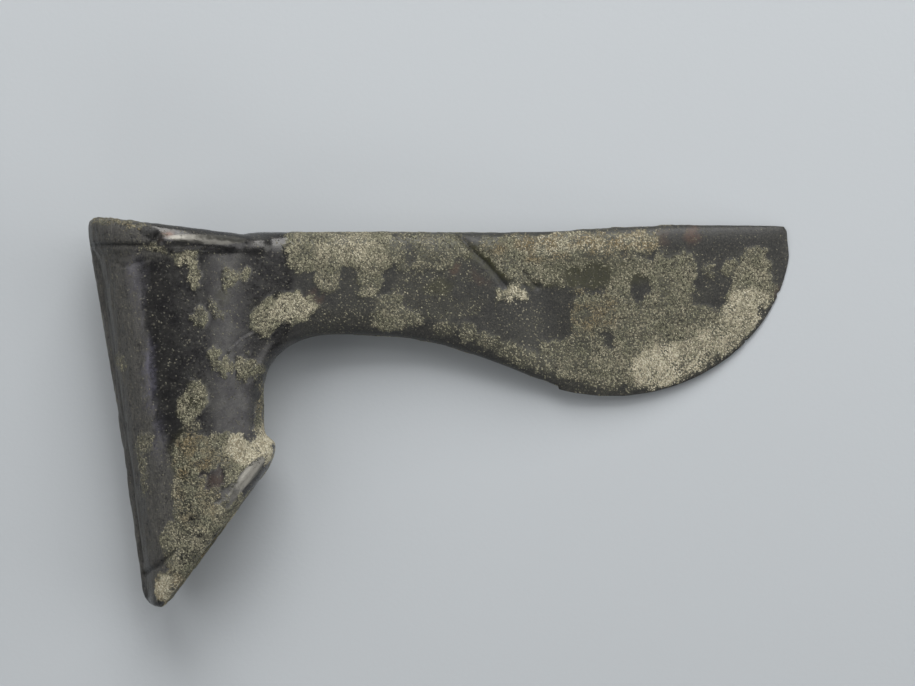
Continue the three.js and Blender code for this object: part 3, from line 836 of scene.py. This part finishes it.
@dataclass
class AxeHead:
    """The bronze itself: socket, collar, lip, neck and half-moon in one casting, with its corrosion."""

    node: str = "axe_head"
    cell: float = 0.56  # millimetres between the points of its skin
    smoothing: int = 11  # rounds that take the drawing's flat facets out
    step: float = 0.8  # how far each round goes
    edge_centre: tuple[float, float] = (122.9, -1.0)  # the half-moon's cutting edge is part of an ellipse
    edge_reach: tuple[float, float] = (42.2, 37.9)
    edge_from: float = -107.2  # degrees round it where the edge begins
    edge_zone: float = 2.6  # millimetres in from the edge that stay as sharp as drawn
    edge_step: float = 0.45  # steps of the even skin along the edge, taken out
    socket_back: tuple[float, float] = (1.3, 0.148)  # u at v = 0, and forward lean for each millimetre down
    socket_front: float = 41.1
    crust_height: float = 0.17
    flake_height: float = 0.22
    flake_stretch: tuple[float, float, float] = (1.3, 0.2, 1.3)  # below 1 draws the flakes out that way
    bore_height: float = 0.35
    pit_depth: float = 0.25
    grit_size: float = 1.15  # millimetres between the crust's coarse lumps
    grit_seed: int = 201
    drift: float = 1.7  # millimetres that whole patches wander
    ragged: float = 2.9  # millimetres that their borders wander
    crisp_border: float = 0.28  # half widths of the borders of crust, stains and gaps, in millimetres
    soft_border: float = 0.9
    gap_border: float = 0.3
    finish: PatinatedBronze = field(default_factory=PatinatedBronze)

    def build(self) -> bpy.types.Object:
        """Makes the casting's skin, grows its relief and dresses it.

        Returns:
            The finished piece.
        """
        mesh = self.fine_skin()
        points = self.read(mesh)
        points = self.smoothed(mesh, points)
        points = self.sharpened(points)
        self.write(mesh, points)
        normals = self.normals(mesh) @ STAND
        growths = self.growths(points, normals)
        points = points + normals * self.relief(points, normals, growths)[:, None]
        self.write(mesh, self.chipped(points))
        for growth, share in growths.items():
            carried = mesh.attributes.new(growth.value, "FLOAT", "POINT")
            carried.data.foreach_set("value", share.astype(np.float32))
        mesh.polygons.foreach_set("use_smooth", [True] * len(mesh.polygons))
        mesh.materials.clear()
        mesh.materials.append(self.finish.material())
        piece = piece_from("axe_head_bronze", mesh)
        LOG.info("axe head: %d faces", len(mesh.polygons))
        return piece

    def fine_skin(self) -> bpy.types.Mesh:
        """Copies the solid, closes it and skins it with even small faces.

        Returns:
            The new skin.
        """
        solid = bmesh.new()
        solid.from_mesh(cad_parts[self.node].data)
        bmesh.ops.remove_doubles(solid, verts=solid.verts, dist=1e-6)
        draft = bpy.data.meshes.new("draft")
        solid.to_mesh(draft)
        solid.free()
        stand_in = piece_from("draft", draft)
        remesh = stand_in.modifiers.new("even skin", "REMESH")
        remesh.mode = "VOXEL"
        remesh.voxel_size = self.cell * MM
        mesh = settled_mesh(stand_in, "axe_head_bronze")
        bpy.data.objects.remove(stand_in)
        bpy.data.meshes.remove(draft)
        return mesh

    def read(self, mesh: bpy.types.Mesh) -> np.ndarray:
        """Reads a mesh's points.

        Args:
            mesh: The mesh, in metres in the part's frame.

        Returns:
            (u, v, w) in millimetres, one point a row.
        """
        flat = np.empty(len(mesh.vertices) * 3)
        mesh.vertices.foreach_get("co", flat)
        return to_drawing(flat.reshape(-1, 3))

    def write(self, mesh: bpy.types.Mesh, points: np.ndarray) -> None:
        """Puts points back into a mesh, kept inside the solid's box.

        Args:
            mesh: The mesh to change.
            points: (u, v, w) in millimetres, in the order of its points.
        """
        low, high = (np.array(corner) for corner in CAD_BOX)
        mesh.vertices.foreach_set("co", np.clip(from_drawing(points), low, high).ravel())
        mesh.update()

    def normals(self, mesh: bpy.types.Mesh) -> np.ndarray:
        """Reads the outward direction at each point of a mesh.

        Args:
            mesh: The mesh.

        Returns:
            Unit directions in the part's frame, one a row.
        """
        flat = np.empty(len(mesh.vertices) * 3)
        mesh.vertex_normals.foreach_get("vector", flat)
        return flat.reshape(-1, 3)

    def edge_inset(self, points: np.ndarray) -> tuple[np.ndarray, np.ndarray]:
        """Measures how far points lie in from the cutting edge.

        Args:
            points: (u, v, w) in millimetres.

        Returns:
            The distance in from the edge in millimetres, large away from the half-moon, and the
            angle round the edge's ellipse in degrees.
        """
        du = (points[:, 0] - self.edge_centre[0]) / self.edge_reach[0]
        dv = (points[:, 1] - self.edge_centre[1]) / self.edge_reach[1]
        angle = np.degrees(np.arctan2(dv, du))
        out = np.hypot(du, dv)
        reach = np.hypot(points[:, 0] - self.edge_centre[0], points[:, 1] - self.edge_centre[1])
        radius = reach / np.maximum(out, 1e-6)
        inset = (1 - out) * radius
        on_edge = (angle > self.edge_from) & (angle < 2)
        return np.where(on_edge, inset, 99.0), angle

    def smoothed(self, mesh: bpy.types.Mesh, points: np.ndarray) -> np.ndarray:
        """Rounds the facets away, except beside the cutting edge and on the rib.

        Args:
            mesh: The mesh, for its edges.
            points: Its points.

        Returns:
            The moved points.
        """
        ends = np.empty(len(mesh.edges) * 2, dtype=np.int64)
        mesh.edges.foreach_get("vertices", ends)
        ends = ends.reshape(-1, 2)
        count = len(points)
        degree = np.bincount(ends.ravel(), minlength=count)
        inset, _ = self.edge_inset(points)
        behind = points[:, 0] - (self.socket_back[0] - self.socket_back[1] * points[:, 1])
        rib = (np.abs(points[:, 2]) < 2.6) & (behind < 1.2) & (points[:, 1] < -2)
        firmness = self.step * (0.75 + 0.25 * ramp(inset, 0.9, self.edge_zone)) * np.where(rib, 0.12, 1.0)
        for _ in range(self.smoothing):
            mean = np.stack(
                [
                    np.bincount(ends[:, 0], points[ends[:, 1], axis], count)
                    + np.bincount(ends[:, 1], points[ends[:, 0], axis], count)
                    for axis in range(3)
                ],
                axis=1,
            ) / degree[:, None]
            points = points + (mean - points) * firmness[:, None]
        return points

    def sharpened(self, points: np.ndarray) -> np.ndarray:
        """Draws the cutting edge back out to its ellipse and thins it to a ground bevel.

        Args:
            points: (u, v, w) in millimetres.

        Returns:
            The moved points.
        """
        inset, angle = self.edge_inset(points)
        near = inset < self.edge_zone
        bins = np.linspace(self.edge_from, 2, 60)
        which = np.clip(np.digitize(angle, bins) - 1, 0, len(bins) - 2)
        lost = np.array([inset[near & (which == b)].min(initial=1.2) for b in range(len(bins) - 1)])
        even = np.convolve(np.pad(lost, 2, "edge"), (0.1, 0.25, 0.3, 0.25, 0.1), "valid")
        lost = np.interp(angle, (bins[:-1] + bins[1:]) / 2, even)
        slack = lost + self.edge_step
        wanted = np.maximum(inset - slack, 0) * self.edge_zone / (self.edge_zone - slack)
        fading = ramp(-angle, 0, 8)  # the corner stays round
        scale = 1 + np.where(near, inset - wanted, 0) * fading / np.hypot(*self.edge_reach) * np.sqrt(2)
        centre = np.array(self.edge_centre)
        moved = points.copy()
        moved[:, :2] = centre + (points[:, :2] - centre) * scale[:, None]
        inset, _ = self.edge_inset(moved)
        bevel = np.where(inset < self.edge_zone, 0.06 + 0.3 * np.maximum(inset, 0), 99.0)
        moved[:, 2] = np.clip(moved[:, 2], -bevel, bevel)
        return moved

    def growths(self, points: np.ndarray, normals: np.ndarray) -> dict[Growth, np.ndarray]:
        """Works out how much of each growth every point carries.

        Args:
            points: (u, v, w) in millimetres.
            normals: Outward directions in the drawing.

        Returns:
            A share from 0 to 1 for each growth and point.
        """
        drift = np.stack([Cloud.DRIFT_U.at(points), Cloud.DRIFT_V.at(points)], axis=1) - 0.5
        ragged = np.stack([Cloud.RAGGED_U.at(points), Cloud.RAGGED_V.at(points)], axis=1) - 0.5
        drift, ragged = drift * self.drift, ragged * self.ragged
        u, v = (points[:, :2] + drift + ragged).T
        upper = ramp(points[:, 2] + 2.5 * normals[:, 2], -0.4, 0.4)
        bore = self.bore_share(points, normals)
        outside = 1 - bore
        shares: dict[Growth, np.ndarray] = {}
        for growth, patches in PATCHES.items():
            soft = self.crisp_border if growth in (Growth.CRUST, Growth.BARE_AND_SHEEN) else self.soft_border
            share = np.zeros(len(points))
            places = (points[:, 0], points[:, 1]) if growth is Growth.BARE_AND_SHEEN else (u, v)
            for patch in patches:
                share = np.maximum(share, patch.cover * ramp(patch.depth(*places), -soft, soft))
            shares[growth] = share * upper * outside
        gap = np.zeros(len(points))
        for patch in GAPS:
            gap = np.maximum(gap, patch.cover * ramp(patch.depth(u, v), -self.gap_border, self.gap_border))
        crust = shares[Growth.CRUST] * (1 - gap)
        for patch in ISLANDS:
            island = patch.cover * ramp(patch.depth(u, v), -self.gap_border, self.gap_border)
            crust = np.maximum(crust, island * upper)

        # The side that lies down and the bore, which follow no drawing: clouds of the same growths.
        under = (1 - upper) * outside
        broad = Cloud.HIDDEN_CRUST.at(points)
        blade = ramp(points[:, 0], 50, 100)
        hidden = 0.9 * ramp(broad, 0.52 - 0.07 * blade, 0.545 - 0.07 * blade)
        hidden = hidden * (0.6 + 0.5 * Cloud.HIDDEN_COVER.at(points))
        crust = crust + hidden * under
        crust = np.maximum(crust, bore * (0.35 + 0.75 * Cloud.BORE_CRUST.at(points)))
        thinning = 0.3 + 1.25 * Cloud.THINNING.at(points)
        inset, _ = self.edge_inset(points)
        crust = crust * thinning * ramp(inset, 0.55, 0.95)
        dust = 0.005 + 0.1 * ramp(points[:, 0], 45, 60)
        crust = np.maximum(crust, dust * ramp(Cloud.DUST.at(points), 0.4, 0.7))
        shares[Growth.CRUST] = np.clip(crust, 0, 1)
        shares[Growth.PALE] *= 0.2 + 1.5 * Cloud.PALENESS.at(points)
        neck_and_blade = 0.8 * ramp(points[:, 0], 50, 62)
        shares[Growth.DULL] = np.maximum(shares[Growth.DULL], np.maximum(neck_and_blade, bore))
        hidden_pale = under * ramp(Cloud.HIDDEN_PALE.at(points), 0.5, 0.7)
        shares[Growth.PALE] = np.clip(shares[Growth.PALE] + hidden_pale, 0, 1)
        hidden_warm = under * ramp(Cloud.HIDDEN_WARM.at(points), 0.5, 0.7)
        shares[Growth.WARM] = np.clip(shares[Growth.WARM] + hidden_warm + 0.8 * bore, 0, 1)
        hidden_olive = 0.7 * under * ramp(Cloud.HIDDEN_OLIVE.at(points), 0.6, 0.75)
        shares[Growth.OLIVE] = np.maximum(shares[Growth.OLIVE], hidden_olive)
        hidden_rust = 0.7 * under * ramp(Cloud.HIDDEN_RUST.at(points), 0.7, 0.8)
        shares[Growth.RUST] = np.maximum(shares[Growth.RUST], hidden_rust)
        back = under * ramp(-points[:, 0] - 0.15 * points[:, 1], -24, -15) * ramp(points[:, 1], 0, -8)
        shares[Growth.FLAKE] = np.maximum(shares[Growth.FLAKE], back)
        pit_and_shade = np.zeros(len(points))
        for patch in PITS_AND_SHADE:
            hole = ramp(patch.depth(points[:, 0], points[:, 1]), -0.25, 0.15)
            pit_and_shade = np.maximum(pit_and_shade, patch.cover * hole * upper * outside)
        # painted shade: the cut lines are darkened black along their length
        for stroke in STROKES.values():
            if stroke.height < 0:
                dark = min(0.7, -2.2 * stroke.height)
                pit_and_shade = np.maximum(pit_and_shade, dark * stroke.share(points[:, 0], points[:, 1]) * upper * outside)
        shares[Growth.PIT_AND_SHADE] = pit_and_shade
        return shares

    def bore_share(self, points: np.ndarray, normals: np.ndarray) -> np.ndarray:
        """Tells which points lie on the wall of the haft hole.

        Args:
            points: (u, v, w) in millimetres.
            normals: Outward directions in the drawing.

        Returns:
            1 inside the haft hole, 0 outside the socket.
        """
        back = self.socket_back[0] - self.socket_back[1] * points[:, 1]
        axis = (back + self.socket_front) / 2
        outward = (points[:, 0] - axis) * normals[:, 0] / 20 + points[:, 2] * normals[:, 2] / 13
        inner = ((points[:, 0] - axis) / (self.socket_front - axis)) ** 2 + (points[:, 2] / 13.4) ** 2
        return np.where((outward < 0) & (inner < 0.98) & (np.abs(normals[:, 1]) < 0.75), 1.0, 0.0)

    def relief(
        self, points: np.ndarray, normals: np.ndarray, growths: dict[Growth, np.ndarray]
    ) -> np.ndarray:
        """Height of the surface over the plain casting, in millimetres.

        Args:
            points: (u, v, w) in millimetres.
            normals: Outward directions in the drawing.
            growths: Share of each growth at each point.

        Returns:
            One height for each point, negative where the surface is eaten away.
        """
        crust = growths[Growth.CRUST]
        inset, _ = self.edge_inset(points)
        away = ramp(inset, 0.4, 1.6)
        upper = ramp(points[:, 2] + 2.5 * normals[:, 2], -0.4, 0.4)
        bore = self.bore_share(points, normals)
        grit = grains(points, self.grit_size, self.grit_seed)
        height = -0.05 + 0.14 * (Cloud.SWELL.at(points) - 0.5)
        lumps = 0.55 + 0.6 * grit + 0.9 * (Cloud.CRUST_SWELL.at(points) - 0.5)
        height += ramp(crust, 0.12, 0.5) * self.crust_height * lumps
        drawn_out = points * self.flake_stretch
        flakes = ramp(Cloud.FLAKES.at(drawn_out), 0.45, 0.6) - 0.5
        height += growths[Growth.FLAKE] * self.flake_height * flakes
        height += bore * self.bore_height * (Cloud.BORE_SWELL.at(points) - 0.5)
        height -= self.pit_depth * growths[Growth.PIT_AND_SHADE]
        u, v = points[:, 0], points[:, 1]
        ripple = 0.6 + 0.8 * Cloud.STROKE_RIPPLE.at(points)
        for stroke in STROKES.values():
            height += stroke.height * stroke.share(u, v) * upper * (1 - bore) * ripple
        return height * away

    def chipped(self, points: np.ndarray) -> np.ndarray:
        """Bites small nicks out of the cutting edge.

        Args:
            points: (u, v, w) in millimetres.

        Returns:
            The moved points.
        """
        inset, angle = self.edge_inset(points)
        along = np.stack([angle * 0.7, np.zeros(len(points)), np.zeros(len(points))], axis=1)
        worn = ramp(angle, -66, -50) * ramp(-angle, 8, 16)
        bite = 0.5 * worn * ramp(Cloud.NICKS.at(along), 0.72, 0.95) + 0.1 * Cloud.EDGE_WEAR.at(along)
        push = np.where(inset < 2.0, bite * ramp(-inset, -2.0, 0.1), 0)
        centre = np.array(self.edge_centre)
        outward = points[:, :2] - centre
        outward /= np.linalg.norm(outward, axis=1)[:, None]
        moved = points.copy()
        moved[:, :2] -= outward * push[:, None]
        return moved


@dataclass
class MineralCrumbs:
    """Loose-looking grains of mineral standing on the crust, thickest where the crust is whole."""

    per_square_metre: float = 1.3e6
    smallest: float = 0.05 * MM
    largest: float = 0.12 * MM
    seed: int = 7
    finish: MineralCrust = field(default_factory=MineralCrust)

    def tree(self, material: bpy.types.Material) -> bpy.types.NodeTree:
        """Builds the node tree that strews grains over a surface by its crust.

        Args:
            material: What the grains are made of.

        Returns:
            The tree, with the surface and the sizes as inputs and the grains alone as output.
        """
        tree = bpy.data.node_groups.new("strewn_crumbs", "GeometryNodeTree")
        face = tree.interface
        face.new_socket("Surface", in_out="INPUT", socket_type="NodeSocketGeometry")
        for name, value in (("Per square metre", 1.0), ("Smallest", 0.0), ("Largest", 1.0)):
            face.new_socket(name, in_out="INPUT", socket_type="NodeSocketFloat").default_value = value
        face.new_socket("Seed", in_out="INPUT", socket_type="NodeSocketInt")
        face.new_socket("Crumbs", in_out="OUTPUT", socket_type="NodeSocketGeometry")
        given = put(tree, "NodeGroupInput").outputs
        crust = put(
            tree, "GeometryNodeInputNamedAttribute", {"data_type": "FLOAT"}, {"Name": Growth.CRUST.value}
        )
        whole = put(tree, RANGE, None, {0: crust.outputs[0], 1: 0.5, 2: 0.9})
        density = put(tree, MATH, MULTIPLY, {0: whole.outputs[0], 1: given["Per square metre"]})
        spots = put(
            tree,
            "GeometryNodeDistributePointsOnFaces",
            None,
            {"Mesh": given["Surface"], "Density": density.outputs[0], "Seed": given["Seed"]},
        )
        grain = put(tree, "GeometryNodeMeshIcoSphere", None, {"Radius": 1.0, "Subdivisions": 1})
        size = put(
            tree,
            "FunctionNodeRandomValue",
            {"data_type": "FLOAT"},
            {2: given["Smallest"], 3: given["Largest"], "Seed": given["Seed"]},
        )
        turn = put(
            tree,
            "FunctionNodeRandomValue",
            {"data_type": "FLOAT_VECTOR"},
            {0: (0, 0, 0), 1: (FULL_TURN,) * 3},
        )
        sown = put(
            tree,
            "GeometryNodeInstanceOnPoints",
            None,
            {
                "Points": spots.outputs["Points"],
                "Instance": grain.outputs["Mesh"],
                "Rotation": turn.outputs[0],
                "Scale": size.outputs[1],
            },
        )
        real = put(tree, "GeometryNodeRealizeInstances", None, {0: sown.outputs[0]})
        dressed = put(tree, "GeometryNodeSetMaterial", None, {0: real.outputs[0], "Material": material})
        put(tree, "NodeGroupOutput", None, {0: dressed.outputs[0]})
        return tree

    def build(self, surface: bpy.types.Object) -> bpy.types.Object:
        """Strews the grains over the bronze.

        Args:
            surface: The bronze, with its crust attribute.

        Returns:
            The grains as one plain mesh.
        """
        sower = piece_from("sower", surface.data.copy())
        sowing = sower.modifiers.new("crumbs", "NODES")
        sowing.node_group = self.tree(self.finish.crumb_material())
        wanted = {
            "Per square metre": self.per_square_metre,
            "Smallest": self.smallest,
            "Largest": self.largest,
            "Seed": self.seed,
        }
        for item in sowing.node_group.interface.items_tree:
            if item.name in wanted:
                sowing[item.identifier] = wanted[item.name]
        mesh = settled_mesh(sower, "mineral_crumbs")
        copied = sower.data
        bpy.data.objects.remove(sower)
        bpy.data.meshes.remove(copied)
        flat = np.empty(len(mesh.vertices) * 3)
        mesh.vertices.foreach_get("co", flat)
        low, high = (np.array(corner) for corner in CAD_BOX)
        mesh.vertices.foreach_set("co", np.clip(flat.reshape(-1, 3), low, high).ravel())
        mesh.polygons.foreach_set("use_smooth", [True] * len(mesh.polygons))
        piece = piece_from("axe_head_crumbs", mesh)
        LOG.info("crumbs: %d faces", len(mesh.polygons))
        return piece


# -------------------------------------------------------------------------------------- the studio


@dataclass(frozen=True)
class SoftBox:
    """A large soft light, placed in the upright drawing and aimed at the head's middle."""

    lean_right: float  # degrees from straight above the blade, towards the cutting edge
    lean_up: float  # and towards the collar
    distance: float  # metres
    wide: float
    high: float
    watts: float


@dataclass
class Studio:
    """Pale paper floor, soft boxes and the camera straight above the blade's flat side."""

    floor_half: float = 3.0
    aim: tuple[float, float, float] = (86.68, -26.26, 0.0)  # millimetres in the drawing
    view_width: float = 215.5
    lens: float = 120.0
    sensor: float = 36.0
    ambient: str = "#8f9498"
    ambient_strength: float = 0.2
    paper: StudioPaper = field(default_factory=StudioPaper)
    boxes: dict[str, SoftBox] = field(
        default_factory=lambda: {
            "right box": SoftBox(64, 0, 0.95, 0.85, 0.8, 4.0),
            "left box": SoftBox(-58, 4, 0.95, 0.6, 0.9, 2.8),
            "top box": SoftBox(22, 24, 0.9, 0.5, 0.4, 1.8),
            "rim box": SoftBox(-2, 52, 0.9, 0.7, 0.7, 8.5),
            "low fill": SoftBox(10, -60, 1.1, 0.9, 0.4, 1.6),
        }
    )

    def axes(self) -> tuple[Vector, Vector, Vector]:
        """The drawing's u, v and w directions in the part's frame."""
        return tuple(Vector(STAND[:, axis]) for axis in range(3))

    def target(self) -> Vector:
        """The point that the camera and the boxes aim at, in metres."""
        return Vector(from_drawing(np.array([self.aim]))[0])

    def floor(self) -> bpy.types.Object:
        """Lays the paper under the head.

        Returns:
            The floor.
        """
        half = self.floor_half
        mesh = bpy.data.meshes.new("floor")
        corners = [(-half, -half, 0), (half, -half, 0), (half, half, 0), (-half, half, 0)]
        mesh.from_pydata(corners, [], [(0, 1, 2, 3)])
        mesh.materials.append(self.paper.material())
        floor = piece_from("floor", mesh)
        return floor

    def place(self, thing: bpy.types.Object, spot: Vector, up: Vector) -> None:
        """Puts a light or the camera at a spot, looking at the target with one side up.

        Args:
            thing: The light or camera.
            spot: Where it goes, in metres.
            up: Which way its top points.
        """
        back = (spot - self.target()).normalized()
        right = up.cross(back).normalized()
        turned = Matrix((right, back.cross(right), back)).transposed().to_4x4()
        thing.matrix_world = Matrix.Translation(spot) @ turned
        bpy.context.scene.collection.objects.link(thing)

    def camera(self) -> None:
        """Sets the camera square to the blade."""
        _, v_axis, w_axis = self.axes()
        data = bpy.data.cameras.new("camera")
        data.lens = self.lens
        data.sensor_width = self.sensor
        data.clip_end = 20
        distance = self.view_width * MM * self.lens / self.sensor
        camera = bpy.data.objects.new("camera", data)
        self.place(camera, self.target() + w_axis * distance, v_axis)
        bpy.context.scene.camera = camera

    def lights(self) -> None:
        """Hangs the soft boxes and sets the room's own dim light."""
        u_axis, v_axis, w_axis = self.axes()
        for name, box in self.boxes.items():
            data = bpy.data.lights.new(name, "AREA")
            data.shape = "RECTANGLE"
            data.size, data.size_y, data.energy = box.wide, box.high, box.watts
            right, up = np.radians(box.lean_right), np.radians(box.lean_up)
            way = (
                u_axis * np.sin(right) * np.cos(up)
                + v_axis * np.sin(up)
                + w_axis * np.cos(right) * np.cos(up)
            )
            light = bpy.data.objects.new(name, data)
            self.place(light, self.target() + way * box.distance, v_axis)
        world = bpy.data.worlds.new("studio")
        world.use_nodes = True
        backdrop = world.node_tree.nodes["Background"]
        backdrop.inputs["Color"].default_value = linear(self.ambient)
        backdrop.inputs["Strength"].default_value = self.ambient_strength
        bpy.context.scene.world = world
        bpy.context.scene.view_settings.view_transform = "Standard"

    def build(self) -> None:
        """Sets up the whole studio."""
        self.camera()
        self.lights()
        self.floor()
        LOG.info("studio: %d soft boxes", len(self.boxes))


def main() -> None:
    """Builds the studio, the bronze and its crumbs."""
    logging.basicConfig(level=logging.INFO, format="%(name)s: %(message)s")
    Studio().build()
    bronze = AxeHead().build()
    crumbs = MineralCrumbs().build(bronze)
    for piece in (bronze, crumbs):
        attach(piece, "root")
        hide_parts("axe_head")


if __name__ == "__main__":
    main()
